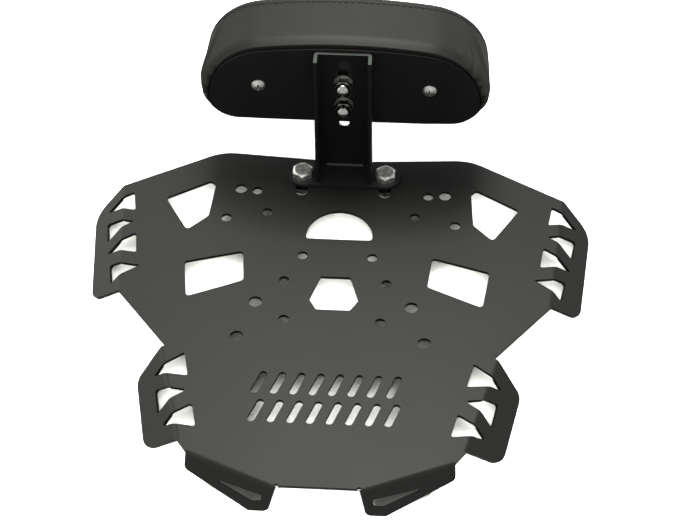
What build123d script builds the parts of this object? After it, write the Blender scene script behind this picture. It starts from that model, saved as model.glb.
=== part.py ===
"""Motorbike luggage rack with an adjustable backrest.

A folded sheet deck bolts over the seat tail by its pairs of holes. A folded upright, welded to a
foot, is clamped to the deck by two bolts in fore-and-aft slots, and the backrest pad is clamped to
the upright by two bolts in an upright slot.

Millimetres. +Z is up, +Y is towards the rider and +X is the rider's right. The origin is on the
deck's underside, midway between the middle pair of mounting holes.
"""

import os
from math import cos, radians, sin, tan

from build123d import *

os.makedirs("parts", exist_ok=True)

# Sheet metal
sheet = 3.0
bend_inner = 4.0
bend_outer = bend_inner + sheet
deck_top = sheet
lap = 1.0
cut_reach = 1.5 * sheet

# Deck outline, right half, on the deck's top face
front_centre = (0.0, 169.5)
shoulder = (112.9, 177.0)
shoulder_radius = 45.0
wing_fold_start = (198.6, 130.2)
wing_fold_end = (186.0, 6.9)
waist = (138.2, -51.2)
side_fold_start = (142.1, -53.9)
side_fold_end = (116.8, -147.6)
tab_fold_start = (108.5, -159.2)
tab_fold_end = (34.0, -190.2)
rear_edge_y = -188.3
relief_radius = 1.8

# Fold angles, down from the deck
wing_angle = 38.0
side_angle = 45.0
tab_angle = 45.0

# Leaf outlines beyond each fold: distance along the fold, distance out from it, corner radius
wing_corners = [(17.8, 33.3, 22.0), (117.3, 32.6, 12.0)]
side_corners = [(12.4, 33.7, 10.0), (82.4, 38.9, 16.0)]
tab_corners = [(3.0, 13.2, 5.0), (65.6, 25.5, 4.0), (80.9, 20.3, 5.0)]

# Truss windows across each fold, in the same terms
wing_windows = [
    [(8.4, -10.0, 1.5), (23.4, 18.5, 0.8), (30.4, -11.5, 1.5)],
    [(43.9, -11.0, 0.8), (36.7, 18.7, 2.5), (59.4, 17.0, 0.8)],
    [(57.7, -13.0, 1.5), (73.7, 17.0, 0.8), (80.9, -13.6, 1.5)],
    [(96.1, -18.0, 0.8), (88.6, 13.0, 2.5), (111.6, 10.6, 0.8)],
]
side_windows = [
    [(9.5, -19.0, 0.8), (22.7, 13.5, 0.8), (34.4, -18.0, 1.5)],
    [(48.9, -16.0, 1.5), (36.0, 15.0, 2.5), (60.2, 17.0, 0.8)],
    [(63.2, -17.0, 2.0), (74.4, 15.0, 1.5), (87.5, -16.5, 2.0)],
]
tab_window = [(25.8, 12.3, 0.8), (72.5, 9.9, 1.2), (73.0, 14.4, 1.5), (65.0, 17.5, 2.0)]

# Deck windows, right half
corner_window = [
    (120.0, 140.3, 3.0),
    (115.3, 135.3, 3.0),
    (118.0, 97.3, 3.0),
    (135.5, 79.8, 3.0),
    (158.5, 117.3, 3.0),
]
square_window = [(83.0, 57.3, 3.0), (133.0, 42.8, 3.0), (127.5, 2.8, 3.0), (79.5, 23.8, 3.0)]

# Windows on the centre line
arch_centre_y = 79.3
arch_radius = 29.5
arch_chord_drop = 4.5
arch_corner = 3.0
hex_top = (13.0, 31.3)
hex_side = (21.5, 5.3)
hex_bottom = (14.5, -5.9)
hex_corner = 2.0

# Mounting holes, in pairs either side of the centre line: x, y, diameter
mounting_holes = [
    (92.0, 132.0, 11.0),
    (77.0, 130.2, 9.0),
    (101.6, 96.0, 9.5),
    (65.8, 104.6, 9.0),
    (30.6, 54.7, 9.0),
    (44.3, 25.3, 9.0),
    (67.0, 0.0, 11.5),
    (41.1, -17.9, 9.0),
    (79.3, -38.6, 11.5),
]

# Lightening slots across the rear of the deck
slot_rows = 2
slot_columns = 8
slot_pitch = 16.0
slot_row_pitch = 29.0
slot_centre_y = -100.7
slot_length = 24.0
slot_width = 6.5
slot_slant = 70.0

# Foot of the upright and its clamp bolts
running_gap = 0.2
foot_width = 102.0
foot_depth = 29.8
foot_corner = 14.5
foot_front_y = 136.5
foot_bottom = deck_top + running_gap
foot_top = foot_bottom + sheet
clamp_spacing = 75.0
clamp_set_back = 13.3
clamp_y = foot_front_y + clamp_set_back
clamp_slot_width = 11.0
clamp_travel = 18.0
clamp_hole = 10.5

# Upright channel
channel_width = 50.0
channel_height = 135.0
channel_depth_foot = 27.0
channel_depth_top = 14.0
channel_bend_inner = 1.2
channel_bend_outer = channel_bend_inner + sheet
channel_back_y = foot_front_y + foot_depth
channel_front_y = channel_back_y - sheet
channel_top = foot_top + channel_height
weld_length = 33.0
weld_leg = 1.5

# Backrest bolts through the upright's slot
pad_slot_width = 9.0
pad_slot_length = 81.0
pad_slot_margin = 7.0
pad_slot_middle = channel_top - pad_slot_margin - pad_slot_length / 2
pad_bolt_spacing = 26.0
pad_bolt_rise = 3.6
pad_bolt_lower_z = pad_slot_middle + pad_bolt_rise - pad_bolt_spacing / 2
pad_bolt_upper_z = pad_slot_middle + pad_bolt_rise + pad_bolt_spacing / 2

# Backrest plate
plate_sheet = 3.0
plate_half_width = 119.5
plate_drop = 33.8
plate_bottom = pad_slot_middle - plate_drop
plate_height = 84.0
plate_corner = 25.0
plate_crown = 5.5
plate_shoulder_turn = 82.0
plate_shoulder = (plate_height - plate_corner - plate_crown) / sin(radians(plate_shoulder_turn))
plate_front_y = channel_back_y + running_gap
plate_back_y = plate_front_y + plate_sheet

# Pad behind the plate
cover_thickness = 1.5
cover_overhang = 6.5
cover_lip = 14.0
side_panel_depth = 52.0
crown = 14.0
crown_radius = 620.0
front_round = 9.0
rear_round = 3.0
soft_gap = 0.3
board_thickness = 9.0
board_back_y = plate_back_y + cover_thickness
board_front_y = board_back_y + board_thickness

# Fasteners
hex_crown = 0.41
hex_bevel = 30.0
bolt_point = 1.0
m10_radius = 5.0
m10_flats = 17.0
m10_head = 6.4
m10_nut = 8.0
m10_collar = 3.0
m10_washer_outer = 16.0
m10_washer_inner = 5.25
m10_washer = 2.0
m10_spare = 2.0
m8_radius = 4.0
m8_flats = 13.0
m8_cap_hex = 6.5
m8_cap_dome_radius = 6.2
m8_cap_height = 15.0
m8_cap_bore = 11.0
m8_washer_outer = 8.4
m8_washer_inner = 4.2
m8_washer = 1.6
m8_head_radius = 9.0
m8_head = 3.0
thread_gap = 0.1
hole_gap = 0.5
screw_inset = 44.5
screw_x = plate_half_width - screw_inset
screw_rise = 5.5
screw_z = pad_slot_middle + screw_rise
screw_radius = 3.0
screw_head_radius = 6.3
screw_head = 4.0
screw_dome_radius = 7.5
screw_cross_length = 7.0
screw_cross_width = 1.4
screw_cross_depth = 2.0
tee_flange_radius = 9.5
tee_flange = 1.2
tee_barrel_radius = 4.0
tee_barrel = 8.0


def rounded_face(corners):
    """A face in the XY plane with corners (x, y, radius), radius 0 for a sharp one."""
    with BuildSketch(Plane.XY) as outline:
        with BuildLine():
            Polyline(*[(x, y) for x, y, _ in corners], close=True)
        make_face()
        for x, y, radius in corners:
            if radius:
                fillet(outline.vertices().sort_by_distance((x, y))[0], radius)
    return outline.sketch


def fold_planes(start, end, angle):
    """The planes of one fold, each with its origin at the fold's start on the deck's top face.

    X runs along the fold and Y out from it, on the flat sheet and on the leaf. The section plane
    has X out from the fold and Y up.
    """
    origin = Vector(start[0], start[1], deck_top)
    along = (Vector(end[0], end[1], deck_top) - origin).normalized()
    out = Vector(0, 0, 1).cross(along)
    leaf_normal = Vector(0, 0, 1) * cos(radians(angle)) + out * sin(radians(angle))
    flat = Plane(origin, x_dir=along, z_dir=(0, 0, 1))
    leaf = Plane(origin, x_dir=along, z_dir=leaf_normal)
    section = Plane(origin, x_dir=out, z_dir=along)
    return flat, leaf, section


def fold_length(start, end):
    """Length of a fold line."""
    return (Vector(*end) - Vector(*start)).length


def setback(angle):
    """Distance from a fold line to where its outer bend begins."""
    return bend_outer * tan(radians(angle) / 2)


def folded_leaf(start, end, angle, corners):
    """One leaf with its bend, cut to the outline through its corners."""
    _, leaf_plane, section_plane = fold_planes(start, end, angle)
    length = fold_length(start, end)
    reach = max(out for _, out, _ in corners) + lap
    back = setback(angle)
    turn = radians(angle)
    slope = Vector(cos(turn), -sin(turn))
    into = Vector(-sin(turn), -cos(turn)) * sheet
    centre = (-back, -bend_outer)
    root = -back - 2 * lap
    outline = rounded_face(
        [(-2 * lap, root, 0), (0, 0, 0)] + corners + [(length, 0, 0), (length, root, 0)]
    )
    with BuildPart() as leaf:
        with BuildSketch(section_plane):
            with BuildLine():
                Line((-back - lap, 0), (-back, 0))
                CenterArc(centre, bend_outer, 90 - angle, angle)
                Line(slope * back, slope * reach)
                Line(slope * reach, slope * reach + into)
                Line(slope * reach + into, slope * back + into)
                CenterArc(centre, bend_inner, 90 - angle, angle)
                Line((-back, -sheet), (-back - lap, -sheet))
                Line((-back - lap, -sheet), (-back - lap, 0))
            make_face()
        extrude(amount=length)
        with BuildSketch(leaf_plane):
            add(outline)
        extrude(amount=bend_outer + sheet, both=True, mode=Mode.INTERSECT)
    return leaf.part


def facing_plane(y):
    """An upright plane at y, seen from behind: local X is +X and local Y is +Z."""
    return Plane((0, y, 0), x_dir=(1, 0, 0), z_dir=(0, -1, 0))


def pad_outline(grow):
    """The backrest plate's outline, grown by a margin all round."""
    half = plate_half_width + grow
    bottom = plate_bottom - grow
    top = plate_bottom + plate_height + grow
    corner = plate_corner + grow
    shoulder_arc = plate_shoulder + grow
    with BuildSketch(Plane.XY) as outline:
        with BuildLine():
            base = Line((corner - half, bottom), (half - corner, bottom))
            right_corner = JernArc(base @ 1, (1, 0), corner, 90)
            right_shoulder = JernArc(right_corner @ 1, (0, 1), shoulder_arc, plate_shoulder_turn)
            left_corner = JernArc(base @ 0, (-1, 0), corner, -90)
            left_shoulder = JernArc(left_corner @ 1, (0, 1), shoulder_arc, -plate_shoulder_turn)
            ThreePointArc(right_shoulder @ 1, (0, top), left_shoulder @ 1)
        make_face()
    return outline.sketch


def pad_form(inset):
    """The pad's closed form behind the plate, pulled in all round by an inset."""
    outline = pad_outline(cover_overhang - inset)
    apex_y = plate_back_y + side_panel_depth + crown - inset
    with BuildPart() as form:
        with BuildSketch(facing_plane(plate_back_y + inset)):
            add(outline)
        extrude(amount=plate_back_y + inset - apex_y)
        with Locations((0, apex_y - crown_radius, plate_bottom + plate_height / 2)):
            Sphere(crown_radius, mode=Mode.INTERSECT)
        fillet(form.faces().sort_by(Axis.Y)[-1].edges(), front_round - inset)
        fillet(form.faces().sort_by(Axis.Y)[0].edges(), rear_round - inset)
    return form.part


folds = [
    (wing_fold_start, wing_fold_end, wing_angle, wing_corners, wing_windows),
    (side_fold_start, side_fold_end, side_angle, side_corners, side_windows),
    (tab_fold_start, tab_fold_end, tab_angle, tab_corners, [tab_window]),
]
leaves = [folded_leaf(start, end, angle, corners) for start, end, angle, corners, _ in folds]
window_faces = [[rounded_face(window) for window in windows] for _, _, _, _, windows in folds]

deck_outline = rounded_face(
    [
        (front_centre[0], front_centre[1], 0),
        (shoulder[0], shoulder[1], shoulder_radius),
        (wing_fold_start[0], wing_fold_start[1], 0),
        (wing_fold_end[0], wing_fold_end[1], 0),
        (waist[0], waist[1], 0),
        (side_fold_start[0], side_fold_start[1], 0),
        (side_fold_end[0], side_fold_end[1], 0),
        (tab_fold_start[0], tab_fold_start[1], 0),
        (tab_fold_end[0], tab_fold_end[1], 0),
        (tab_fold_end[0], rear_edge_y, 0),
        (0, rear_edge_y, 0),
    ]
)
deck_windows = [rounded_face(corner_window), rounded_face(square_window)]
hex_right = [hex_top, hex_side, hex_bottom]
hex_left = [(-x, y) for x, y in reversed(hex_right)]
hex_window = rounded_face([(x, y, hex_corner) for x, y in hex_right + hex_left])
with BuildSketch(Plane.XY) as arch_sketch:
    with Locations((0, arch_centre_y)):
        Circle(arch_radius)
    with Locations((0, arch_centre_y - arch_chord_drop)):
        Rectangle(2 * arch_radius, arch_radius, align=(Align.CENTER, Align.MAX), mode=Mode.SUBTRACT)
    fillet(arch_sketch.vertices().group_by(Axis.Y)[0], arch_corner)
arch_window = arch_sketch.sketch

# Rack plate: the right half is made with its leaves and windows, then mirrored
with BuildPart() as rack_plate:
    with BuildSketch(Plane.XY):
        add(deck_outline)
    extrude(amount=sheet)
    for start, end, angle, _, _ in folds:
        flat_plane, _, _ = fold_planes(start, end, angle)
        with BuildSketch(flat_plane):
            with Locations((fold_length(start, end) / 2, -setback(angle))):
                Rectangle(fold_length(start, end), bend_outer, align=(Align.CENTER, Align.MIN))
        extrude(amount=cut_reach, both=True, mode=Mode.SUBTRACT)
    add(leaves)
    for (start, end, angle, _, windows), faces in zip(folds, window_faces):
        flat_plane, leaf_plane, _ = fold_planes(start, end, angle)
        sides = [(leaf_plane, Align.MIN)]
        if min(out for window in windows for _, out, _ in window) < 0:
            sides.append((flat_plane, Align.MAX))
        for side_plane, side_align in sides:
            with BuildSketch(side_plane):
                add(faces)
                with Locations((fold_length(start, end) / 2, 0)):
                    Rectangle(
                        fold_length(start, end),
                        fold_length(start, end),
                        align=(Align.CENTER, side_align),
                        mode=Mode.INTERSECT,
                    )
            extrude(amount=cut_reach, both=True, mode=Mode.SUBTRACT)
    with BuildSketch(Plane.XY):
        add(deck_windows)
        for hole_x, hole_y, hole_diameter in mounting_holes:
            with Locations((hole_x, hole_y)):
                Circle(hole_diameter / 2)
        with Locations((clamp_spacing / 2, clamp_y - clamp_travel / 2)):
            SlotOverall(clamp_travel + clamp_slot_width, clamp_slot_width, rotation=90)
        with Locations((tab_fold_end[0] - relief_radius / 2, rear_edge_y)):
            Circle(relief_radius)
    extrude(amount=sheet, mode=Mode.SUBTRACT)
    mirror(about=Plane.YZ)
    with BuildSketch(Plane.XY):
        add(arch_window)
        add(hex_window)
        with Locations((0, slot_centre_y)):
            with GridLocations(slot_pitch, slot_row_pitch, slot_columns, slot_rows):
                SlotOverall(slot_length, slot_width, rotation=slot_slant)
    extrude(amount=sheet, mode=Mode.SUBTRACT)
rack_plate.part.label = "rack_plate"
export_step(rack_plate.part, "parts/rack_plate.step")

# Foot plate with a clamp hole at each end
with BuildPart() as foot_plate:
    with BuildSketch(Plane.XY.offset(foot_bottom)):
        with Locations((0, foot_front_y + foot_depth / 2)):
            RectangleRounded(foot_width, foot_depth, foot_corner)
        with Locations((-clamp_spacing / 2, clamp_y), (clamp_spacing / 2, clamp_y)):
            Circle(clamp_hole / 2, mode=Mode.SUBTRACT)
    extrude(amount=sheet)
foot_plate.part.label = "foot_plate"
export_step(foot_plate.part, "parts/foot_plate.step")

# Upright: a channel with its web against the backrest and flanges that taper upwards
half_channel = channel_width / 2
channel_outside = rounded_face(
    [
        (-half_channel, channel_back_y, channel_bend_outer),
        (half_channel, channel_back_y, channel_bend_outer),
        (half_channel, channel_back_y - channel_depth_foot, 0),
        (-half_channel, channel_back_y - channel_depth_foot, 0),
    ]
)
channel_inside = rounded_face(
    [
        (sheet - half_channel, channel_front_y, channel_bend_inner),
        (half_channel - sheet, channel_front_y, channel_bend_inner),
        (half_channel - sheet, channel_back_y - channel_depth_foot - lap, 0),
        (sheet - half_channel, channel_back_y - channel_depth_foot - lap, 0),
    ]
)
with BuildPart() as upright_channel:
    with BuildSketch(Plane.XY.offset(foot_top)):
        add(channel_outside)
        add(channel_inside, mode=Mode.SUBTRACT)
    extrude(amount=channel_height)
    with BuildSketch(Plane.YZ):
        with BuildLine():
            Polyline(
                (channel_back_y - channel_depth_foot, foot_top),
                (channel_back_y - channel_depth_top, channel_top),
                (channel_back_y - channel_depth_foot - lap, channel_top),
                (channel_back_y - channel_depth_foot - lap, foot_top),
                close=True,
            )
        make_face()
    extrude(amount=channel_width, both=True, mode=Mode.SUBTRACT)
    with BuildSketch(facing_plane(channel_back_y)):
        with Locations((0, pad_slot_middle)):
            SlotOverall(pad_slot_length, pad_slot_width, rotation=90)
    extrude(amount=sheet, mode=Mode.SUBTRACT)
upright_channel.part.label = "upright_channel"
export_step(upright_channel.part, "parts/upright_channel.step")

# Weld bead along the web's foot, between the flanges
with BuildPart() as foot_weld:
    with BuildSketch(Plane.YZ):
        with BuildLine():
            Line((channel_front_y, foot_top), (channel_front_y, foot_top + weld_leg))
            Line((channel_front_y, foot_top), (channel_front_y - weld_leg, foot_top))
            ThreePointArc(
                (channel_front_y, foot_top + weld_leg),
                (channel_front_y - 0.6 * weld_leg, foot_top + 0.6 * weld_leg),
                (channel_front_y - weld_leg, foot_top),
            )
        make_face()
    extrude(amount=weld_length / 2, both=True)
foot_weld.part.label = "foot_weld"
export_step(foot_weld.part, "parts/foot_weld.step")

# Clamp bolts of the foot, each with a washer and a collar nut below the deck
washer_top = -running_gap
washer_bottom = washer_top - m10_washer
nut_bottom = washer_bottom - m10_nut
for side, bolt_x in (("left", -clamp_spacing / 2), ("right", clamp_spacing / 2)):
    with BuildPart() as clamp_bolt:
        with BuildSketch(Plane.XY.offset(foot_top)):
            with Locations((bolt_x, clamp_y)):
                RegularPolygon(m10_flats / 2, 6, major_radius=False, rotation=30)
        extrude(amount=m10_head)
        with Locations((bolt_x, clamp_y, foot_top)):
            Cone(
                hex_crown * m10_flats + m10_head / tan(radians(hex_bevel)),
                hex_crown * m10_flats,
                m10_head,
                align=(Align.CENTER, Align.CENTER, Align.MIN),
                mode=Mode.INTERSECT,
            )
        with BuildSketch(Plane.XY.offset(foot_top)):
            with Locations((bolt_x, clamp_y)):
                Circle(m10_radius)
        extrude(amount=nut_bottom - m10_collar - m10_spare - foot_top)
        chamfer(clamp_bolt.edges().sort_by(Axis.Z)[0], bolt_point)
    clamp_bolt.part.label = f"clamp_bolt_{side}"
    export_step(clamp_bolt.part, f"parts/clamp_bolt_{side}.step")

    with BuildPart() as clamp_washer:
        with BuildSketch(Plane.XY.offset(washer_bottom)):
            with Locations((bolt_x, clamp_y)):
                Circle(m10_washer_outer)
                Circle(m10_washer_inner, mode=Mode.SUBTRACT)
        extrude(amount=m10_washer)
    clamp_washer.part.label = f"clamp_washer_{side}"
    export_step(clamp_washer.part, f"parts/clamp_washer_{side}.step")

    with BuildPart() as clamp_nut:
        with BuildSketch(Plane.XY.offset(nut_bottom)):
            with Locations((bolt_x, clamp_y)):
                RegularPolygon(m10_flats / 2, 6, major_radius=False, rotation=30)
        extrude(amount=m10_nut)
        with BuildSketch(Plane.XY.offset(nut_bottom)):
            with Locations((bolt_x, clamp_y)):
                Circle(hex_crown * m10_flats)
        extrude(amount=-m10_collar)
        chamfer(clamp_nut.edges().sort_by(Axis.Z)[0], m10_collar / 2)
        with BuildSketch(Plane.XY.offset(washer_bottom)):
            with Locations((bolt_x, clamp_y)):
                Circle(m10_radius + thread_gap)
        extrude(amount=-m10_nut - m10_collar, mode=Mode.SUBTRACT)
    clamp_nut.part.label = f"clamp_nut_{side}"
    export_step(clamp_nut.part, f"parts/clamp_nut_{side}.step")

# Backrest plate
with BuildPart() as backrest_plate:
    with BuildSketch(facing_plane(plate_front_y)):
        add(pad_outline(0))
        with Locations((0, pad_bolt_lower_z), (0, pad_bolt_upper_z)):
            Circle(m8_radius + hole_gap, mode=Mode.SUBTRACT)
        with Locations((-screw_x, screw_z), (screw_x, screw_z)):
            Circle(screw_radius + hole_gap, mode=Mode.SUBTRACT)
    extrude(amount=-plate_sheet)
backrest_plate.part.label = "backrest_plate"
export_step(backrest_plate.part, "parts/backrest_plate.step")

# Backrest bolts: flat heads behind the plate, cap nuts on washers against the upright's web
washer_face_y = channel_front_y - running_gap
nut_face_y = washer_face_y - m8_washer
bolt_end_y = nut_face_y - m8_cap_bore + bolt_point
for place, bolt_z in (("lower", pad_bolt_lower_z), ("upper", pad_bolt_upper_z)):
    with BuildPart() as pad_bolt:
        with BuildSketch(facing_plane(plate_back_y)):
            with Locations((0, bolt_z)):
                Circle(m8_head_radius)
        extrude(amount=-m8_head)
        with BuildSketch(facing_plane(plate_back_y)):
            with Locations((0, bolt_z)):
                Circle(m8_radius)
        extrude(amount=plate_back_y - bolt_end_y)
        chamfer(pad_bolt.edges().sort_by(Axis.Y)[0], bolt_point)
    pad_bolt.part.label = f"pad_bolt_{place}"
    export_step(pad_bolt.part, f"parts/pad_bolt_{place}.step")

    with BuildPart() as pad_washer:
        with BuildSketch(facing_plane(washer_face_y)):
            with Locations((0, bolt_z)):
                Circle(m8_washer_outer)
                Circle(m8_washer_inner, mode=Mode.SUBTRACT)
        extrude(amount=m8_washer)
    pad_washer.part.label = f"pad_washer_{place}"
    export_step(pad_washer.part, f"parts/pad_washer_{place}.step")

    with BuildPart() as cap_nut:
        with BuildSketch(facing_plane(nut_face_y)):
            with Locations((0, bolt_z)):
                Circle(m8_cap_dome_radius)
        extrude(amount=m8_cap_height - m8_cap_dome_radius)
        with Locations((0, nut_face_y - m8_cap_height + m8_cap_dome_radius, bolt_z)):
            Sphere(m8_cap_dome_radius)
        with BuildSketch(facing_plane(nut_face_y)):
            with Locations((0, bolt_z)):
                RegularPolygon(m8_flats / 2, 6, major_radius=False)
        extrude(amount=m8_cap_hex)
        with BuildSketch(facing_plane(nut_face_y)):
            with Locations((0, bolt_z)):
                Circle(m8_radius + thread_gap)
        extrude(amount=m8_cap_bore, mode=Mode.SUBTRACT)
    cap_nut.part.label = f"cap_nut_{place}"
    export_step(cap_nut.part, f"parts/cap_nut_{place}.step")

# Board screws and the tee nuts that they hold
for side, place_x in (("left", -screw_x), ("right", screw_x)):
    with BuildPart() as pad_screw:
        with BuildSketch(facing_plane(plate_front_y)):
            with Locations((place_x, screw_z)):
                Circle(screw_head_radius)
        extrude(amount=screw_head)
        with Locations((place_x, plate_front_y - screw_head + screw_dome_radius, screw_z)):
            Sphere(screw_dome_radius, mode=Mode.INTERSECT)
        with BuildSketch(facing_plane(plate_front_y - screw_head)):
            with Locations((place_x, screw_z)):
                Rectangle(screw_cross_length, screw_cross_width)
                Rectangle(screw_cross_width, screw_cross_length)
        extrude(amount=-screw_cross_depth, mode=Mode.SUBTRACT)
        with BuildSketch(facing_plane(plate_front_y)):
            with Locations((place_x, screw_z)):
                Circle(screw_radius)
        extrude(amount=plate_front_y - board_front_y + tee_flange)
    pad_screw.part.label = f"pad_screw_{side}"
    export_step(pad_screw.part, f"parts/pad_screw_{side}.step")

    with BuildPart() as tee_nut:
        with BuildSketch(facing_plane(board_front_y)):
            with Locations((place_x, screw_z)):
                Circle(tee_flange_radius)
        extrude(amount=tee_flange)
        with BuildSketch(facing_plane(board_front_y)):
            with Locations((place_x, screw_z)):
                Circle(tee_barrel_radius)
        extrude(amount=tee_barrel)
        with BuildSketch(facing_plane(board_front_y)):
            with Locations((place_x, screw_z)):
                Circle(screw_radius + thread_gap)
        extrude(amount=tee_barrel, mode=Mode.SUBTRACT)
    tee_nut.part.label = f"tee_nut_{side}"
    export_step(tee_nut.part, f"parts/tee_nut_{side}.step")

# Board behind the plate, with pockets for the bolt heads and the tee nuts
with BuildPart() as pad_board:
    with BuildSketch(facing_plane(board_back_y)):
        add(pad_outline(cover_overhang - rear_round - soft_gap))
    extrude(amount=-board_thickness)
    with BuildSketch(facing_plane(board_back_y)):
        with Locations((0, pad_bolt_lower_z), (0, pad_bolt_upper_z)):
            Circle(m8_head_radius + hole_gap)
    extrude(amount=-(m8_head - cover_thickness + soft_gap), mode=Mode.SUBTRACT)
    with BuildSketch(facing_plane(board_front_y)):
        with Locations((-screw_x, screw_z), (screw_x, screw_z)):
            Circle(tee_flange_radius + thread_gap)
    extrude(amount=tee_flange, mode=Mode.SUBTRACT)
    with BuildSketch(facing_plane(board_back_y)):
        with Locations((-screw_x, screw_z), (screw_x, screw_z)):
            Circle(tee_barrel_radius + thread_gap)
    extrude(amount=-board_thickness, mode=Mode.SUBTRACT)
pad_board.part.label = "pad_board"
export_step(pad_board.part, "parts/pad_board.step")

# Foam in front of the board
foam_form = pad_form(cover_thickness + soft_gap)
with BuildPart() as foam_core:
    add(foam_form)
    with BuildSketch(facing_plane(board_front_y)):
        add(pad_outline(cover_overhang))
    extrude(amount=side_panel_depth, mode=Mode.SUBTRACT)
foam_core.part.label = "foam_core"
export_step(foam_core.part, "parts/foam_core.step")

# Cover drawn over the foam and turned in behind the board
with BuildPart() as pad_cover:
    add(pad_form(0))
    add(pad_form(cover_thickness), mode=Mode.SUBTRACT)
    with BuildSketch(facing_plane(plate_back_y)):
        add(pad_outline(cover_overhang - cover_lip))
    extrude(amount=-2 * cover_thickness, mode=Mode.SUBTRACT)
pad_cover.part.label = "pad_cover"
export_step(pad_cover.part, "parts/pad_cover.step")
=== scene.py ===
# Looks of the motorbike luggage rack with its backrest.
#
# The folded deck, the upright, the plates and the fasteners are the CAD solids with a painted or
# plated finish each. The backrest's sewn cover is made here: a side strip and a crowned front
# panel that meet in a sewn seam, gathered where they turn the lower corners. Metres, in the frame
# of the CAD model.

from math import cos, pi, radians, sin, sqrt

import bpy
import numpy as np
from mathutils import Matrix, Vector


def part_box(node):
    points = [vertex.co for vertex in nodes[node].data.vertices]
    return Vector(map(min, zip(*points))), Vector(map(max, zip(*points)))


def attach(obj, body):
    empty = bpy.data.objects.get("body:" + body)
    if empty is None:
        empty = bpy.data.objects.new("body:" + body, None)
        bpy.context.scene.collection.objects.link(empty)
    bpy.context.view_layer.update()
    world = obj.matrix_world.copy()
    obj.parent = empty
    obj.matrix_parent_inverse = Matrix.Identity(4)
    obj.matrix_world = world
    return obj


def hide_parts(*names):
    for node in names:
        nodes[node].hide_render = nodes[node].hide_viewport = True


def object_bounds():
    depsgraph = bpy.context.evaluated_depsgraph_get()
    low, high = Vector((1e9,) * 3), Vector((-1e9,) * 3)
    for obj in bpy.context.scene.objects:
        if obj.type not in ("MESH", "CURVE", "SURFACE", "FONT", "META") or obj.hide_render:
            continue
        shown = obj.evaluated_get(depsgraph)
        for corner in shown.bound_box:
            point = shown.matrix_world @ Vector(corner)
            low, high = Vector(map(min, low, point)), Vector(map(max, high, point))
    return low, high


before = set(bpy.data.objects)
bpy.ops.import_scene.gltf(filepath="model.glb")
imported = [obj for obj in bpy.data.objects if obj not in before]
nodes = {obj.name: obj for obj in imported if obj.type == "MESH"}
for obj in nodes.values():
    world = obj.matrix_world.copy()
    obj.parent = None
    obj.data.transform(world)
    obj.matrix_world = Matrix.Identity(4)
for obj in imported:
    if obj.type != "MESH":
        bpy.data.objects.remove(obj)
cad_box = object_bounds()
mm = 0.001


def add_object(name, data):
    """A new object with this data, linked to the scene."""
    made = bpy.data.objects.new(name, data)
    bpy.context.scene.collection.objects.link(made)
    return made


# ---------------------------------------------------------------- camera

CAMERA_PLACE = Vector((91.1, -1041.4, 1257.1)) * mm
CAMERA_HEIGHT_ANGLE = radians(48.98)
CAMERA_TURN = radians(4.18)
CAMERA_ROLL = radians(-0.94)
CAMERA_LENS = 98.1
SENSOR_WIDTH = 36.0
NEAREST_SEEN = 0.01


def place_camera():
    """The photograph's view: from behind the rack and well above it."""
    backwards = Vector((
        sin(CAMERA_TURN) * cos(CAMERA_HEIGHT_ANGLE),
        -cos(CAMERA_TURN) * cos(CAMERA_HEIGHT_ANGLE),
        sin(CAMERA_HEIGHT_ANGLE),
    ))
    level_right = Vector((cos(CAMERA_TURN), sin(CAMERA_TURN), 0.0))
    level_up = backwards.cross(level_right)
    right = level_right * cos(CAMERA_ROLL) + level_up * sin(CAMERA_ROLL)
    up = level_up * cos(CAMERA_ROLL) - level_right * sin(CAMERA_ROLL)
    data = bpy.data.cameras.new("camera")
    data.lens = CAMERA_LENS
    data.sensor_width = SENSOR_WIDTH
    data.clip_start = NEAREST_SEEN
    camera = add_object("camera", data)
    turn = Matrix((right, up, backwards)).transposed()
    camera.matrix_world = Matrix.Translation(CAMERA_PLACE) @ turn.to_4x4()
    bpy.context.scene.camera = camera


# ---------------------------------------------------------------- shader maths


class Signal:
    """An output socket of a finish, used in sums like a number, a vector or a colour."""

    def __init__(self, finish, socket):
        self.finish = finish
        self.socket = socket

    def combine(self, operation, first, second=None):
        """The node that works a sum out: Math for numbers alone, Vector Math for the rest."""
        values = [value for value in (first, second) if value is not None]
        plain = all(
            value.socket.type == "VALUE" if isinstance(value, Signal) else np.isscalar(value)
            for value in values
        )
        kind = "ShaderNodeMath" if plain else "ShaderNodeVectorMath"
        sockets = {}
        for index, value in enumerate(values):
            if not plain and np.isscalar(value):
                value = (value, value, value)
            sockets[index] = value
        return self.finish.add(kind, {"operation": operation}, sockets)

    def __add__(self, other):
        return self.combine("ADD", self, other)

    def __radd__(self, other):
        return self.combine("ADD", other, self)

    def __sub__(self, other):
        return self.combine("SUBTRACT", self, other)

    def __rsub__(self, other):
        return self.combine("SUBTRACT", other, self)

    def __mul__(self, other):
        return self.combine("MULTIPLY", self, other)

    def __rmul__(self, other):
        return self.combine("MULTIPLY", other, self)

    def __truediv__(self, other):
        return self.combine("DIVIDE", self, other)

    def __rtruediv__(self, other):
        return self.combine("DIVIDE", other, self)

    def __abs__(self):
        return self.combine("ABSOLUTE", self)

    def step(self, low, high):
        """0 below low, 1 above high and smooth between them."""
        return self.finish.add(
            "ShaderNodeMapRange",
            {"interpolation_type": "SMOOTHSTEP"},
            {"Value": self, "From Min": low, "From Max": high},
        )


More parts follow.
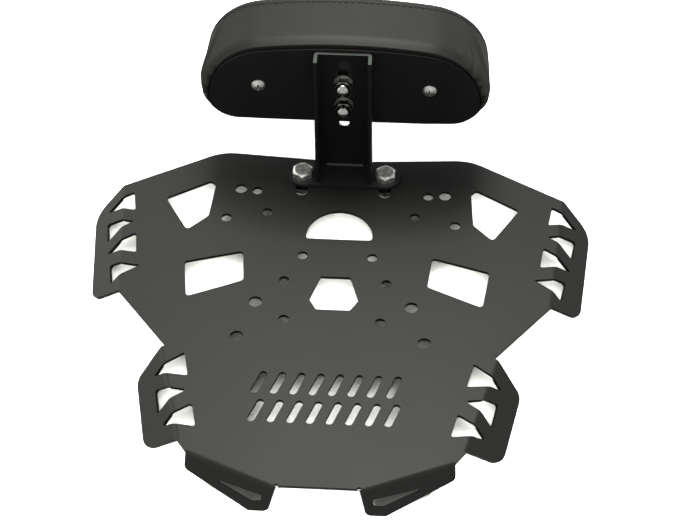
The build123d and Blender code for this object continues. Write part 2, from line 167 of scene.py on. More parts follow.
class Finish:
    """The nodes of one material, or of the world, added one by one."""

    def __init__(self, owner):
        self.owner = owner
        owner.use_nodes = True
        self.tree = owner.node_tree
        self.tree.nodes.clear()

    def add(self, kind, settings=None, sockets=None, out=0):
        """A node of this kind with its settings and the values or links of its sockets."""
        made = self.tree.nodes.new(kind)
        for name, value in (settings or {}).items():
            setattr(made, name, value)
        for name, value in (sockets or {}).items():
            socket = made.inputs[name]
            if isinstance(value, Signal):
                self.tree.links.new(value.socket, socket)
            else:
                socket.default_value = value
        return Signal(self, made.outputs[out]) if made.outputs else None

    def place(self):
        """Where on its piece a point lies, in metres."""
        return self.add("ShaderNodeTexCoord", out="Object")

    def parts(self, vector):
        """The three numbers of a vector."""
        split = self.add("ShaderNodeSeparateXYZ", {}, {0: vector})
        return [Signal(self, socket) for socket in split.socket.node.outputs]

    def stretched(self, share):
        """The place with its X drawn out, so that what is laid over it runs along X."""
        x, y, z = self.parts(self.place())
        return self.add("ShaderNodeCombineXYZ", {}, {0: x * share, 1: y, 2: z})

    def noise(self, scale, detail, where=None):
        """Cloudy noise from 0 to 1, with scale clouds to the metre."""
        return self.add(
            "ShaderNodeTexNoise",
            {},
            {"Vector": where or self.place(), "Scale": scale, "Detail": detail},
        )

    def blend(self, factor, first, second):
        """first where factor is 0 and second where it is 1, as a colour."""
        colours = {6: first, 7: second}
        for index, colour in colours.items():
            if not isinstance(colour, Signal):
                colours[index] = (*colour, 1.0)
        return self.add("ShaderNodeMix", {"data_type": "RGBA"}, {0: factor, **colours}, out=2)

    def bump(self, height, depth, strength):
        """The surface's way out with fine relief, where a height of 1 stands out by depth."""
        sockets = {"Height": height, "Distance": depth, "Strength": strength}
        return self.add("ShaderNodeBump", {}, sockets)

    def surface(self, **sockets):
        """The Principled shader, with sockets named as words joined by underscores."""
        named = {name.replace("_", " "): value for name, value in sockets.items()}
        shader = self.add("ShaderNodeBsdfPrincipled", {}, named)
        self.add("ShaderNodeOutputMaterial", {}, {"Surface": shader})
        return self.owner


def new_finish(name):
    """A material of this name with no nodes yet."""
    return Finish(bpy.data.materials.new(name))


# ---------------------------------------------------------------- finishes

# A lighter greenish grey along the upright's top edge, and how far under the top it fades in
TOP_EDGE_COLOUR = (0.062, 0.074, 0.067)
TOP_EDGE_FADE = (0.5 * mm, 0.1 * mm)
ZINC_BLUE = 0.96
PLY_LAYER = 1.5 * mm


def grey(level):
    """A neutral colour of this level."""
    return (level, level, level)


def deck_coat():
    """Satin black powder coat: fine orange peel and slightly uneven gloss."""
    coat = new_finish("deck powder coat")
    cloud = coat.noise(scale=9.0, detail=3.0)
    peel = coat.noise(scale=1100.0, detail=2.0)
    grit = coat.noise(scale=3200.0, detail=1.0)
    dark, light = (0.0185, 0.0185, 0.0175), (0.0215, 0.0215, 0.0203)
    return coat.surface(
        Base_Color=coat.blend(cloud.step(0.3, 0.7), dark, light),
        Roughness=0.34 + 0.10 * cloud + 0.05 * grit,
        Normal=coat.bump(peel + 0.35 * grit, depth=0.06 * mm, strength=0.35),
        Specular_IOR_Level=0.2,
    )


def bracket_coat(name, level, top_edge=None):
    """Smooth black paint of this grey; just under the given height of its top edge the colour turns
    a lighter greenish grey.
    """
    coat = new_finish(name)
    cloud = coat.noise(scale=30.0, detail=3.0)
    peel = coat.noise(scale=700.0, detail=2.0)
    colour = coat.blend(cloud, grey(0.8 * level), grey(1.25 * level))
    if top_edge is not None:
        height = coat.parts(coat.place())[2]
        # the colour turns a lighter greenish grey over the last half millimetre under the top edge
        top_band = height.step(top_edge - TOP_EDGE_FADE[0], top_edge - TOP_EDGE_FADE[1])
        colour = coat.blend(top_band, colour, TOP_EDGE_COLOUR)
    return coat.surface(
        Base_Color=colour,
        Roughness=0.30 + 0.08 * cloud,
        Normal=coat.bump(peel, depth=0.04 * mm, strength=0.3),
        Specular_IOR_Level=0.4,
    )


def plated_steel(name, dark, light, rough):
    """Zinc plate with fine turning marks; dark and light are its greys."""
    plate = new_finish(name)
    marks = plate.noise(scale=4200.0, detail=2.0, where=plate.stretched(0.15))
    cloud = plate.noise(scale=260.0, detail=3.0)
    dark, light = (dark, dark, dark * ZINC_BLUE), (light, light, light * ZINC_BLUE)
    return plate.surface(
        Base_Color=plate.blend(cloud.step(0.35, 0.65), dark, light),
        Roughness=rough + 0.16 * marks,
        Metallic=1.0,
        Normal=plate.bump(marks, depth=0.02 * mm, strength=0.4),
    )


def bright_chrome():
    """Bright nickel chrome of the cap nuts."""
    chrome = new_finish("bright chrome")
    cloud = chrome.noise(scale=420.0, detail=2.0)
    dark, light = (0.30, 0.295, 0.28), (0.40, 0.395, 0.38)
    return chrome.surface(
        Base_Color=chrome.blend(cloud, dark, light),
        Roughness=0.10 + 0.10 * cloud,
        Metallic=1.0,
    )


def leather():
    """Black leather-grain vinyl with a soft sheen, and painted shade in the valleys between its
    grains.
    """
    hide = new_finish("black leather")
    cloud = hide.noise(scale=28.0, detail=4.0)
    bend = hide.noise(scale=240.0, detail=2.0)
    cells = hide.add(
        "ShaderNodeTexVoronoi",
        {"feature": "DISTANCE_TO_EDGE"},
        {"Vector": hide.place() + 0.0012 * bend, "Scale": 780.0},
    )
    pores = hide.noise(scale=2600.0, detail=2.0)
    grain = cells.step(0.0, 0.16)
    dark, light, between = (0.0165, 0.0167, 0.0148), (0.0205, 0.0207, 0.0184), (0.008, 0.008, 0.007)
    colour = hide.blend(cloud.step(0.3, 0.7), dark, light)
    return hide.surface(
        # painted shade: the valleys between the grains, lowest in the bump, are darkened
        Base_Color=hide.blend(0.25 * (1.0 - grain), colour, between),
        Roughness=0.42 + 0.10 * cloud - 0.05 * grain,
        Normal=hide.bump(grain + 0.4 * pores, depth=0.09 * mm, strength=0.35),
        Specular_IOR_Level=0.28,
    )


def thread():
    """Black bonded thread with a fine twist, and painted shade in the twist's grooves."""
    yarn = new_finish("black sewing thread")
    twist = yarn.add(
        "ShaderNodeTexWave",
        {"wave_type": "BANDS", "bands_direction": "DIAGONAL"},
        {"Vector": yarn.place(), "Scale": 900.0, "Distortion": 1.0},
        out="Fac",
    )
    dark, light = (0.004, 0.004, 0.004), (0.014, 0.014, 0.013)
    return yarn.surface(
        # painted shade: the colour darkens where the twist's bump is lowest, in its grooves
        Base_Color=yarn.blend(twist, dark, light),
        Roughness=0.7 - 0.1 * twist,
        Normal=yarn.bump(twist, depth=0.05 * mm, strength=0.5),
    )


def plywood():
    """Birch ply of the pad's board: layers across its thickness."""
    ply = new_finish("birch ply")
    figure = ply.noise(scale=420.0, detail=4.0, where=ply.stretched(0.08))
    depth = ply.parts(ply.place())[1]
    layer = ply.add("ShaderNodeMath", {"operation": "PINGPONG"}, {0: depth, 1: PLY_LAYER})
    dark, light, glue = (0.42, 0.29, 0.16), (0.60, 0.45, 0.27), (0.30, 0.19, 0.10)
    colour = ply.blend(figure, dark, light)
    return ply.surface(
        Base_Color=ply.blend(0.35 * (layer / PLY_LAYER).step(0.4, 0.6), colour, glue),
        Roughness=0.6 + 0.2 * figure,
        Normal=ply.bump(figure, depth=0.1 * mm, strength=0.4),
    )


def open_foam():
    """Grey upholstery foam with open cells, and painted shade in the cells' hollows."""
    foam = new_finish("grey foam")
    cells = foam.add(
        "ShaderNodeTexVoronoi", {"feature": "F1"}, {"Vector": foam.place(), "Scale": 900.0}
    )
    dark, light = (0.10, 0.10, 0.11), (0.24, 0.24, 0.25)
    return foam.surface(
        # painted shade: darker towards the middle of each cell's hollow, lowest in the bump
        Base_Color=foam.blend(cells.step(0.0, 0.7), dark, light),
        Roughness=0.9 - 0.05 * cells,
        Normal=foam.bump(cells, depth=0.3 * mm, strength=0.6),
    )


# ---------------------------------------------------------------- floor, world and lamps

FLOOR_GAP = 0.2 * mm
FLOOR_SIZE = 3.2
FLOOR_COLOUR = 0.02
REFLECTED_FLOOR_COLOUR = 0.09
SEEN_FLOOR_COLOUR = 0.70
SHADED_FLOOR_COLOUR = 0.015
SHADE_REACH = 0.10
SHADE_SAMPLES = 24
SHADE_OPENNESS = (0.115, 0.178)
TAB_SHADE_COLOUR = 0.05
TAB_SHADE_PLACE = (66.0 * mm, -174.5 * mm)
TAB_SHADE_TURN = radians(24.7)
TAB_SHADE_HALF_LENGTH = 21.0 * mm
TAB_SHADE_HALF_WIDTH = 4.0 * mm
TAB_SHADE_SOFTNESS = 8.0 * mm

LIGHT_LEVEL = 0.25
WHITE = (1.0, 1.0, 1.0, 1.0)
LAMP_COLOUR = (0.98, 1.0, 0.93)

# Each lamp's name, place and side in metres, and its power in watts
FRONT_LAMP = ("front soft box", (0.0, 0.77, 1.7), 0.8, 24.8)
LEFT_LAMPS = [
    ("left front soft box", (-1.3, 1.2, 0.8), 1.4, 11.0),
    ("left soft box", (-1.6, 0.3, 0.7), 1.4, 7.0),
]
FLOOR_LAMP = ("floor lamp", CAMERA_PLACE * 1.05, 2.0, 300.0)


def ray_kinds(finish):
    """1 for the camera's own rays, and 1 for those that a mirror or glass passes on."""
    path = finish.add("ShaderNodeLightPath", out="Is Camera Ray")
    outputs = path.socket.node.outputs
    mirrored = Signal(finish, outputs["Is Glossy Ray"])
    through = Signal(finish, outputs["Is Transmission Ray"])
    return path, finish.add("ShaderNodeClamp", {}, {"Value": mirrored + through})


def tab_shade(finish):
    """1 on the two strips of floor close under the rear tabs, where hardly any light comes."""
    across, back, _ = finish.parts(finish.place())
    across = abs(across) - TAB_SHADE_PLACE[0]
    back = back - TAB_SHADE_PLACE[1]
    along = across * cos(TAB_SHADE_TURN) + back * sin(TAB_SHADE_TURN)
    aside = back * cos(TAB_SHADE_TURN) - across * sin(TAB_SHADE_TURN)
    past_end = abs(along).step(TAB_SHADE_HALF_LENGTH, TAB_SHADE_HALF_LENGTH + TAB_SHADE_SOFTNESS)
    past_side = abs(aside).step(TAB_SHADE_HALF_WIDTH, TAB_SHADE_HALF_WIDTH + TAB_SHADE_SOFTNESS)
    return (1.0 - past_end) * (1.0 - past_side)


def make_floor():
    """A plain pale floor that keeps the rack's shadow, deepest close under the sheet metal."""
    finish = new_finish("pale floor")
    openness = finish.add(
        "ShaderNodeAmbientOcclusion",
        {"samples": SHADE_SAMPLES},
        {"Distance": SHADE_REACH},
        out="AO",
    )
    shown = finish.blend(
        openness.step(*SHADE_OPENNESS), grey(SHADED_FLOOR_COLOUR), grey(SEEN_FLOOR_COLOUR)
    )
    shown = finish.blend(tab_shade(finish), shown, grey(TAB_SHADE_COLOUR))
    seen, reflected = ray_kinds(finish)
    colour = finish.blend(reflected, grey(FLOOR_COLOUR), grey(REFLECTED_FLOOR_COLOUR))
    colour = finish.blend(seen, colour, shown)
    matt = finish.add("ShaderNodeBsdfDiffuse", {}, {"Color": colour})
    finish.add("ShaderNodeOutputMaterial", {}, {"Surface": matt})
    half = FLOOR_SIZE / 2
    height = cad_box[0][2] - FLOOR_GAP
    corners = [(x * half, y * half, height) for x, y in ((-1, -1), (1, -1), (1, 1), (-1, 1))]
    mesh = bpy.data.meshes.new("floor")
    mesh.from_pydata(corners, [], [(0, 1, 2, 3)])
    mesh.materials.append(finish.owner)
    floor = add_object("floor", mesh)
    return floor


def light_world():
    """Even light from all round, with white behind everything that looks past the floor."""
    world = bpy.data.worlds.new("studio")
    bpy.context.scene.world = world
    sky = Finish(world)
    seen, reflected = ray_kinds(sky)
    level = LIGHT_LEVEL + (1.0 - LIGHT_LEVEL) * (seen + reflected)
    background = sky.add("ShaderNodeBackground", {}, {"Color": WHITE, "Strength": level})
    sky.add("ShaderNodeOutputWorld", {}, {"Surface": background})


def hang_lamp(name, place, side, power):
    """A soft box that points at the middle of the deck."""
    data = bpy.data.lights.new(name, "AREA")
    data.shape = "RECTANGLE"
    data.size = data.size_y = side
    data.energy = power
    data.color = LAMP_COLOUR
    lamp = add_object(name, data)
    lamp.location = place
    lamp.rotation_euler = (-Vector(place)).to_track_quat("-Z", "Y").to_euler()
    return lamp


def light_only(lamp, receivers):
    """Lets a lamp light these things alone, with everything else still in its way."""
    lit = bpy.data.collections.new("lit by " + lamp.name)
    for receiver in receivers:
        lit.objects.link(receiver)
    lamp.light_linking.receiver_collection = lit


# ---------------------------------------------------------------- the sewn cover

# The backrest plate, whose outline the cover follows
PLATE_CORNER = 25.0 * mm
PLATE_CROWN = 5.5 * mm
SHOULDER_TURN = radians(82.0)
OUTLINE_STEPS = 400

# The lip and the rounded rear edge, with its angles in degrees
COVER_OVERHANG = 6.5 * mm
LIP_REACH = -7.0 * mm
LIP_START = 0.3 * mm
FIT_GAP = 0.15 * mm
REAR_START = 0.5 * mm
EDGE_BACK = 0.9 * mm
EDGE_ROUND = 1.0 * mm
EDGE_ANGLES = (35.0, 70.0)
EDGE_DIP = 2.4 * mm
BAND_DEPTH = 10.5 * mm
BAND_SHARES = (0.0, 0.3, 0.65)

# The seam and the crowned front panel, with its angles in degrees
SEAM_BACK = 2.0 * mm
SEAM_DEPTH = 0.8 * mm
SEAM_WIDTH = 0.9 * mm
FRONT_ROUND = 9.0 * mm
FRONT_ANGLES = (0.0, 15.0, 30.0, 45.0)
LONG_CROWN_RADIUS = 6900.0 * mm
SHORT_CROWN_RADIUS = 420.0 * mm

# Fuller ends, slack along their rear edge and a tuck at each lower corner
END_START = 70.0 * mm
END_FADE = 30.0 * mm
END_BULGE = 1.4 * mm
END_BULGE_DROP = 2.0 * mm
END_BULGE_SPREAD = 30.0 * mm
END_BULGE_SHAPE = 0.7
SLACK_DIP = 2.1 * mm
SLACK_HEIGHT = 44.0 * mm
SLACK_SPREAD = 22.0 * mm
CORNER_TUCK = 2.2 * mm
TUCK_HEIGHT = 9.0 * mm
TUCK_SPREAD = 11.0 * mm
LEFT_TUCK = 0.3
WAVE_DEPTH = 0.12 * mm
WAVE_LENGTHS = (23.0 * mm, 61.0 * mm)

# Gathers where the cover turns the lower corners: how far each lies along the rear edge above
# the widest point, its depth, width and length forwards in millimetres, and how much it climbs
GATHERS = {
    "left": [
        (38.0, 1.4, 2.8, 14.0, 0.1), (27.0, 2.4, 2.8, 20.0, 0.3), (15.0, 4.2, 2.6, 34.0, 0.55),
        (6.0, 2.2, 2.2, 18.0, 0.5), (-2.0, 1.3, 2.6, 22.0, 0.3),
    ],
    "right": [
        (47.0, 1.6, 2.8, 12.0, 0.1), (36.0, 2.8, 3.0, 20.0, 0.2), (25.0, 2.6, 2.4, 16.0, 0.4),
        (15.0, 4.2, 2.8, 34.0, 0.6), (6.0, 3.0, 2.2, 20.0, 0.7), (-1.0, 1.6, 2.6, 22.0, 0.5),
    ],
}
GATHER_START = 1.5 * mm
GATHER_START_SHARE = 0.3
CREASE_START = 11.0 * mm
CREASE_SHARES = (0.12, 0.9)

# The ridge beside each crease and the fold it hangs back: places and widths in crease widths
RIDGE_PLACE = 1.9
RIDGE_WIDTH = 1.5
RIDGE_SHARE = 0.75
FOLD_WIDTH = 1.4
FOLD_HANG = 0.7
FOLD_LOWEST = 2.0
FOLD_BEHIND = 4.0 * mm
FOLD_AHEAD = 6.0 * mm

# Lines of the skin: those that the cloth is made of, and how many finer ones lie in each
HALF_COLUMNS = 72
SIDE_ROWS = 11
FRONT_ROWS = 12
FINER_ROWS = 3
FINER_COLUMNS = 5
SEAM_LINES = (-0.55, -0.42, -0.31, -0.22, -0.14, -0.07, 0.0, 0.15, 0.3, 0.45, 0.62, 0.8, 1.0)
SEAM_LINES_CLEAR = 0.1
MEASURED_COLUMNS = 40

# The cloth that the foam fills
CLOTH = {
    "quality": 6,
    "mass": 0.2,
    "tension_stiffness": 12.0,
    "compression_stiffness": 12.0,
    "shear_stiffness": 4.0,
    "bending_stiffness": 0.4,
    "use_pressure": True,
    "uniform_pressure_force": 4.0,
    "vertex_group_mass": "held",
}
CLOTH_FRAMES = 20
MOST_SWELL = 3.5 * mm

# One stitch of the seam
STITCH_PITCH = 5.6 * mm
STITCH_LENGTH = 3.6 * mm
STITCH_RADIUS = 0.75 * mm
STITCH_TIP_RADIUS = 0.05 * mm
STITCH_LIFT = 0.35 * mm
STITCH_DIVE = 0.45 * mm
STITCH_STOPS = 7
STITCH_SIDES = 6
STITCH_LOOK_AHEAD = 0.1 * mm

plate_low, plate_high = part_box("backrest_plate")
cover_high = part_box("pad_cover")[1]
plate_middle_z = (plate_low.z + plate_high.z) / 2


def run_length(line):
    """How far along a line of points each point lies."""
    return np.concatenate([[0.0], np.cumsum(np.linalg.norm(np.diff(line, axis=0), axis=1))])


def bell(distance, width):
    """1 where distance is 0, fading smoothly to nothing within a few widths."""
    return np.exp(-(distance / width) ** 2)


def quarter_outline(upper):
    """The plate's outline from the middle of its top or bottom edge to its right end.

    Gives evenly spaced points and the way out at each, both in the plate's own plane.
    """
    half = plate_high.x
    corner_centre = (half - PLATE_CORNER, plate_low.z + PLATE_CORNER)
    path = []
    way = []

    def arc(centre, radius, angles):
        for angle in angles:
            way.append((cos(angle), sin(angle)))
            path.append((centre[0] + radius * cos(angle), centre[1] + radius * sin(angle)))

    if upper:
        rise = plate_high.z - PLATE_CROWN - corner_centre[1]
        radius = rise / sin(SHOULDER_TURN)
        centre = (half - radius, corner_centre[1])
        end_x = centre[0] + radius * cos(SHOULDER_TURN)
        top_radius = (end_x ** 2 + PLATE_CROWN ** 2) / (2 * PLATE_CROWN)
        spread = np.arcsin(end_x / top_radius)
        for angle in np.linspace(0.0, spread, OUTLINE_STEPS):
            way.append((sin(angle), cos(angle)))
            path.append((
                top_radius * sin(angle), plate_high.z - top_radius * (1 - cos(angle))
            ))
        arc(centre, radius, np.linspace(SHOULDER_TURN, 0.0, OUTLINE_STEPS)[1:])
    else:
        for x in np.linspace(0.0, corner_centre[0], OUTLINE_STEPS):
            way.append((0.0, -1.0))
            path.append((x, plate_low.z))
        arc(corner_centre, PLATE_CORNER, np.linspace(-pi / 2, 0.0, OUTLINE_STEPS)[1:])
    path = np.array(path)
    way = np.array(way)
    length = run_length(path)
    places = np.linspace(0.0, length[-1], HALF_COLUMNS // 2 + 1)
    even = np.stack([np.interp(places, length, path[:, k]) for k in (0, 1)], axis=1)
    out = np.stack([np.interp(places, length, way[:, k]) for k in (0, 1)], axis=1)
    return even, out / np.linalg.norm(out, axis=1)[:, None]


def whole_outline():
    """Columns round the pad: right end, over the top, left end and back under the bottom."""
    top, top_out = quarter_outline(True)
    base, base_out = quarter_outline(False)
    flip = np.array([-1.0, 1.0])
    points = [top[::-1], (top * flip)[1:], (base * flip)[::-1][1:], base[1:-1]]
    ways = [top_out[::-1], (top_out * flip)[1:], (base_out * flip)[::-1][1:], base_out[1:-1]]
    return np.concatenate(points), np.concatenate(ways)


def front_height(x, z, inside):
    """How far forward the front panel lies at a point that is this far inside the outline."""
    crowned = (
        cover_high.y - x ** 2 / (2 * LONG_CROWN_RADIUS)
        - (z - plate_middle_z) ** 2 / (2 * SHORT_CROWN_RADIUS)
    )
    short = np.clip(FRONT_ROUND - inside, 0.0, FRONT_ROUND)
    return crowned - (FRONT_ROUND - np.sqrt(FRONT_ROUND ** 2 - short ** 2))


def overhang_and_rim(points):
    """How far the side panel and the rear edge stand out past the plate at each point."""
    side = np.where(points[:, 0] > 0, 1.0, LEFT_TUCK)
    at_end = np.clip((np.abs(points[:, 0]) - END_START) / END_FADE, 0.0, 1.0)
    height = points[:, 1] - plate_low.z
    slack = at_end * bell(height - SLACK_HEIGHT, SLACK_SPREAD)
    tuck = at_end * side * bell(height - TUCK_HEIGHT, TUCK_SPREAD)
    overhang = COVER_OVERHANG - CORNER_TUCK * tuck
    return overhang, overhang - EDGE_DIP - SLACK_DIP * slack


def front_spine(edge):
    """The front panel's middle line, with the point on it that each column runs to."""
    half_spine = plate_high.x - (plate_high.z - plate_low.z) / 2
    upper = np.arange(HALF_COLUMNS + 1)
    lower = (-upper) % len(edge)
    both = np.clip((edge[upper, 0] + edge[lower, 0]) / 2, -half_spine, half_spine)
    spine_x = np.zeros(len(edge))
    spine_x[upper] = both
    spine_x[lower] = both
    return np.stack([spine_x, np.full(len(edge), plate_middle_z)], axis=1)


def cover_rows(points, ways):
    """Rings of points from the rear lip over the side panel and seam to the front's middle line."""
    def ring(grow, depth):
        spread = points + ways * np.reshape(grow, (-1, 1))
        return np.stack([spread[:, 0], np.broadcast_to(depth, len(points)), spread[:, 1]], axis=1)

    front_of_plate = plate_high.y + FIT_GAP
    rear = plate_high.y - EDGE_BACK
    overhang, rim = overhang_and_rim(points)
    rings = [ring(grow, front_of_plate) for grow in (LIP_REACH, LIP_REACH / 2, LIP_START)]
    rings += [ring(grow, rear) for grow in (REAR_START, (rim - EDGE_ROUND) / 2, rim - EDGE_ROUND)]
    for angle in np.radians(EDGE_ANGLES):
        rings.append(ring(
            rim - EDGE_ROUND * (1 - sin(angle)), rear + EDGE_ROUND * (1 - cos(angle))
        ))
    edge_row = len(rings)
    for share in BAND_SHARES:
        grow = rim + (overhang - rim) * sin(share * pi / 2)
        rings.append(ring(grow, rear + EDGE_ROUND + (BAND_DEPTH - EDGE_ROUND) * share))
    edge = points + ways * overhang[:, None]
    start = rear + BAND_DEPTH
    turn = front_height(edge[:, 0], edge[:, 1], FRONT_ROUND) - FRONT_ROUND
    for share in np.linspace(0.0, 1.0, SIDE_ROWS):
        rings.append(ring(overhang, start + (turn - SEAM_BACK - start) * share))
    seam_row = len(rings) - 1
    for angle in np.radians(FRONT_ANGLES):
        inside = FRONT_ROUND * (1 - cos(angle))
        rings.append(ring(overhang - inside, turn + FRONT_ROUND * sin(angle)))
    start = rings[-1][:, [0, 2]]
    spine = front_spine(edge)
    for share in np.linspace(0.0, 1.0, FRONT_ROWS + 1)[1:]:
        flat = start + (spine - start) * share
        depth = front_height(
            flat[:, 0], flat[:, 1], inside + np.linalg.norm(flat - start, axis=1)
        )
        rings.append(np.stack([flat[:, 0], depth, flat[:, 1]], axis=1))
    return np.array(rings), edge_row, seam_row


def grid_mesh(name, rings):
    """A skin over the rings, closed round the pad and sewn up along the front's middle line."""
    rows, columns = rings.shape[:2]
    numbers = np.arange(rows * columns).reshape(rows, columns)
    for column in range(columns // 2 + 1, columns):
        numbers[-1, column] = numbers[-1, columns - column]
    faces = []
    for row in range(rows - 1):
        for column in range(columns):
            after = (column + 1) % columns
            corners = [
                numbers[row, column], numbers[row, after],
                numbers[row + 1, after], numbers[row + 1, column],
            ]
            corners = [int(c) for k, c in enumerate(corners) if c != corners[k - 1]]
            if len(corners) > 2:
                faces.append(corners)
    mesh = bpy.data.meshes.new(name)
    mesh.from_pydata(rings.reshape(-1, 3).tolist(), [], faces)
    mesh.update()
    return mesh


def add_skin(name, mesh, finish):
    """A smooth piece of this finish."""
    mesh.materials.append(finish)
    mesh.polygons.foreach_set("use_smooth", [True] * len(mesh.polygons))
    return add_object(name, mesh)


def swell(rings, edge_row, seam_row):
    """The cover filled with foam: cloth blown up a little between its held seam and its lip."""
    mesh = grid_mesh("cover pattern", rings)
    pattern = add_object("cover pattern", mesh)
    columns = rings.shape[1]
    held = pattern.vertex_groups.new(name="held")
    firm = list(range((edge_row + 1) * columns))
    firm += list(range(seam_row * columns, (seam_row + 1) * columns))
    held.add(firm, 1.0, "REPLACE")
    cloth = pattern.modifiers.new("cloth", "CLOTH")
    for name, value in CLOTH.items():
        setattr(cloth.settings, name, value)
    cloth.settings.effector_weights.gravity = 0.0
    scene = bpy.context.scene
    cloth.point_cache.frame_start = 1
    cloth.point_cache.frame_end = CLOTH_FRAMES
    for number in range(1, CLOTH_FRAMES + 1):
        scene.frame_set(number)
    shape = pattern.evaluated_get(bpy.context.evaluated_depsgraph_get())
    moved = np.zeros(len(mesh.vertices) * 3)
    shape.data.vertices.foreach_get("co", moved)
    moved = moved.reshape(rings.shape)
    scene.frame_set(1)
    bpy.data.objects.remove(pattern)
    for column in range(columns // 2 + 1, columns):
        moved[-1, column] = moved[-1, columns - column]
    shift = moved - rings
    far = np.linalg.norm(shift, axis=2, keepdims=True)
    return rings + shift * np.minimum(1.0, MOST_SWELL / np.maximum(far, 1e-9))


def finer_rows(values, places):
    """A smooth curve through the rows of values, read at fractional row numbers."""
    last = len(values) - 1
    low = np.clip(np.floor(places).astype(int), 0, last - 1)
    part = (places - low)[:, None, None]
    before = values[np.clip(low - 1, 0, last)]
    here = values[low]
    after = values[low + 1]
    beyond = values[np.clip(low + 2, 0, last)]
    return 0.5 * (
        2 * here
        + (after - before) * part
        + (2 * before - 5 * here + 4 * after - beyond) * part ** 2
        + (3 * here - before - 3 * after + beyond) * part ** 3
    )


def finer_columns(values, finer):
    """The same along the closed rings."""
    columns = values.shape[1]
    wrapped = np.concatenate([values[:, -2:], values, values[:, :3]], axis=1)
    places = np.arange(columns * finer) / finer + 2
    return finer_rows(wrapped.transpose(1, 0, 2), places).transpose(1, 0, 2)


def row_places(rows, seam_row):
    """Row numbers of the finished skin, close together on both sides of the seam."""
    plain = np.arange(0, (rows - 1) * FINER_ROWS + 1) / FINER_ROWS
    near = seam_row + np.array(SEAM_LINES)
    clear = plain[
        (plain < near[0] - SEAM_LINES_CLEAR) | (plain > near[-1] + SEAM_LINES_CLEAR)
    ]
    return np.sort(np.concatenate([clear, near]))


def skin_normals(rings):
    """The way out of the skin at each point."""
    along = np.roll(rings, -1, axis=1) - np.roll(rings, 1, axis=1)
    across = np.gradient(rings, axis=0)
    out = np.cross(along, across)
    out = out / np.maximum(np.linalg.norm(out, axis=2, keepdims=True), 1e-12)
    middle = rings[len(rings) // 2].mean(axis=0)
    row = len(rings) // 4
    if np.sum(out[row] * (rings[row] - middle)) < 0:
        out = -out
    return out


def gathered(rings, places, edge_row, seam_row):
    """How far the skin stands out, with fuller ends and gathers that fade towards the front.

    The second value is how far the folds hang back over the plate's edge.
    """
    edge_line = int(np.argmin(np.abs(places - edge_row)))
    seam_line = int(np.argmin(np.abs(places - seam_row)))
    edge = rings[edge_line]
    along = run_length(edge)
    measured = range(0, rings.shape[1], MEASURED_COLUMNS)
    forward = np.array([run_length(rings[:, k]) for k in measured]).mean(axis=0)
    forward = (forward - forward[edge_line])[:, None]
    share = np.clip(forward / forward[seam_line], 0.0, 1.0)
    relief = np.zeros(rings.shape[:2])
    hang = np.zeros(rings.shape[:2])
    behind = np.clip(1.0 + forward / FOLD_BEHIND, 0.0, 1.0)
    near_edge = np.where(forward < 0, behind, bell(forward, FOLD_AHEAD))
    low_z = plate_low.z + PLATE_CORNER
    for side, direction in (("left", -1), ("right", 1)):
        near = np.where(edge[:, 0] * direction > 0, np.abs(edge[:, 2] - low_z), 1.0)
        widest = int(np.argmin(near))
        upward = along - along[widest]
        upward = (upward + along[-1] / 2) % along[-1] - along[-1] / 2
        upward = upward[None, :] * direction
        fullness = bell(upward + END_BULGE_DROP, END_BULGE_SPREAD)
        relief += END_BULGE * fullness * np.sin(pi * share) ** END_BULGE_SHAPE
        for place, depth, width, length, climb in GATHERS[side]:
            across = (upward - place * mm - climb * forward) / (width * mm)
            fade = bell(forward, length * mm) * (share < 1.0)
            fade = fade * np.clip(forward / GATHER_START + GATHER_START_SHARE, 0.0, 1.0)
            ridge = RIDGE_SHARE * bell(across + RIDGE_PLACE, RIDGE_WIDTH)
            crease = bell(across, 1.0) * np.clip(forward / CREASE_START, *CREASE_SHARES)
            relief += depth * mm * fade * (ridge - crease)
            if place > FOLD_LOWEST:
                fold = bell(across + RIDGE_PLACE, FOLD_WIDTH)
                hang += FOLD_HANG * depth * mm * near_edge * fold
    short, long = WAVE_LENGTHS
    wave = np.sin(along / short) + np.sin(along / long + 1.0)
    relief += WAVE_DEPTH * wave[None, :] * np.sin(pi * share)
    return relief, hang


def make_cover(finish):
    """The sewn cover; gives the seam's points and the way out at each."""
    points, ways = whole_outline()
    rings, edge_row, seam_row = cover_rows(points, ways)
    rings = swell(rings, edge_row, seam_row)
    places = row_places(len(rings), seam_row)
    rings = finer_columns(finer_rows(rings, places), FINER_COLUMNS)
    out = skin_normals(rings)
    relief, hang = gathered(rings, places, edge_row, seam_row)
    rings = rings + out * relief[:, :, None]
    rings[:, :, 1] -= hang
    seam_line = int(np.argmin(np.abs(places - seam_row)))
    from_seam = run_length(rings[:, 0])
    groove = SEAM_DEPTH * bell(from_seam - from_seam[seam_line], SEAM_WIDTH)
    rings = rings - out * groove[:, None, None]
    cover = add_skin("backrest_cover", grid_mesh("backrest_cover", rings), finish)
    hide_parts("pad_cover")
    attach(cover, "pad")
    return rings[seam_line], out[seam_line]


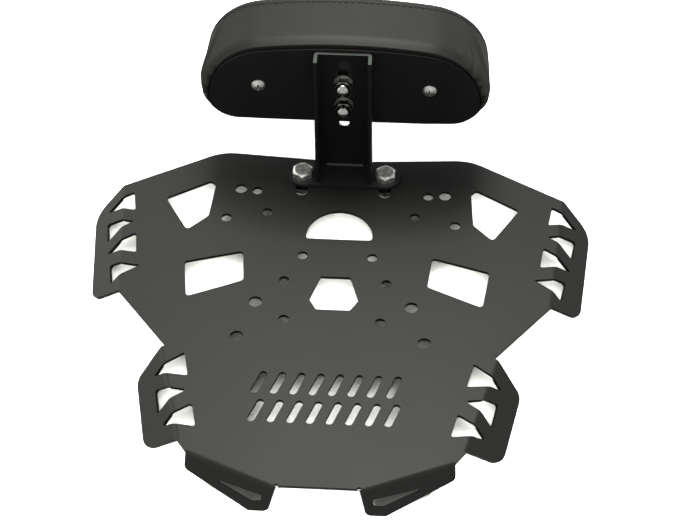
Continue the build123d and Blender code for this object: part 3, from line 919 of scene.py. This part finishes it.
def make_stitches(finish, seam, out):
    """One thread stitch after another, lying in the seam."""
    closed = np.concatenate([seam, seam[:1]])
    lift = np.concatenate([out, out[:1]])
    travel = run_length(closed)
    count = int(travel[-1] / STITCH_PITCH)
    stops = np.linspace(-1.0, 1.0, STITCH_STOPS)
    points = []
    faces = []

    def at(place):
        place = place % travel[-1]
        return [
            np.array([np.interp(place, travel, line[:, k]) for k in range(3)])
            for line in (closed, lift)
        ]

    for number in range(count):
        middle = (number + 0.5) * travel[-1] / count
        first = len(points)
        for stop in stops:
            centre, up = at(middle + stop * STITCH_LENGTH / 2)
            ahead, _ = at(middle + stop * STITCH_LENGTH / 2 + STITCH_LOOK_AHEAD)
            along = ahead - centre
            along /= np.linalg.norm(along)
            up = up - along * np.dot(up, along)
            up /= np.linalg.norm(up)
            across = np.cross(along, up)
            thick = STITCH_RADIUS * sqrt(max(0.0, 1 - abs(stop) ** 3)) + STITCH_TIP_RADIUS
            centre = centre + up * (STITCH_LIFT - STITCH_DIVE * stop ** 4)
            for side in range(STITCH_SIDES):
                angle = 2 * pi * side / STITCH_SIDES
                points.append(centre + thick * (cos(angle) * across + sin(angle) * up))
        for step in range(STITCH_STOPS - 1):
            a = first + step * STITCH_SIDES
            b = a + STITCH_SIDES
            for side in range(STITCH_SIDES):
                after = (side + 1) % STITCH_SIDES
                faces.append((a + side, a + after, b + after, b + side))
        last = first + (STITCH_STOPS - 1) * STITCH_SIDES
        faces.append(tuple(first + side for side in reversed(range(STITCH_SIDES))))
        faces.append(tuple(last + side for side in range(STITCH_SIDES)))
    mesh = bpy.data.meshes.new("seam_stitches")
    mesh.from_pydata([tuple(p) for p in points], [], faces)
    stitches = add_skin("seam_stitches", mesh, finish)
    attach(stitches, "pad")


# ---------------------------------------------------------------- putting it together


def dress(beginnings, material):
    """Gives this finish to the CAD nodes whose names begin so."""
    for name, node in nodes.items():
        if name.startswith(beginnings):
            node.data.materials.clear()
            node.data.materials.append(material)


bpy.context.scene.view_settings.view_transform = "Standard"
place_camera()
floor = make_floor()
light_world()
hang_lamp(*FRONT_LAMP)
hard_pieces = [node for name, node in nodes.items() if name not in ("pad_cover", "foam_core")]
for lamp in LEFT_LAMPS:
    light_only(hang_lamp(*lamp), hard_pieces)
light_only(hang_lamp(*FLOOR_LAMP), [floor])

upright_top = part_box("upright_channel")[1].z
steel = plated_steel("dull zinc plate", dark=0.22, light=0.36, rough=0.22)
bolt_steel = plated_steel("bright zinc plate", dark=0.42, light=0.70, rough=0.36)
screw_steel = plated_steel("satin zinc plate", dark=0.34, light=0.60, rough=0.30)
chrome = bright_chrome()
dress("rack_plate", deck_coat())
dress("foot_plate", bracket_coat("foot coat", 0.028))
dress(("foot_weld", "backrest_plate"), bracket_coat("plate coat", 0.018))
dress("upright_channel", bracket_coat("upright coat", 0.0095, upright_top))
dress(("clamp_washer", "clamp_nut", "pad_washer", "pad_bolt", "tee_nut"), steel)
dress("clamp_bolt", bolt_steel)
dress("cap_nut", chrome)
dress("pad_screw", screw_steel)
dress("pad_board", plywood())
dress("foam_core", open_foam())
dress("pad_cover", leather())

seam, seam_out = make_cover(leather())
make_stitches(thread(), seam, seam_out)
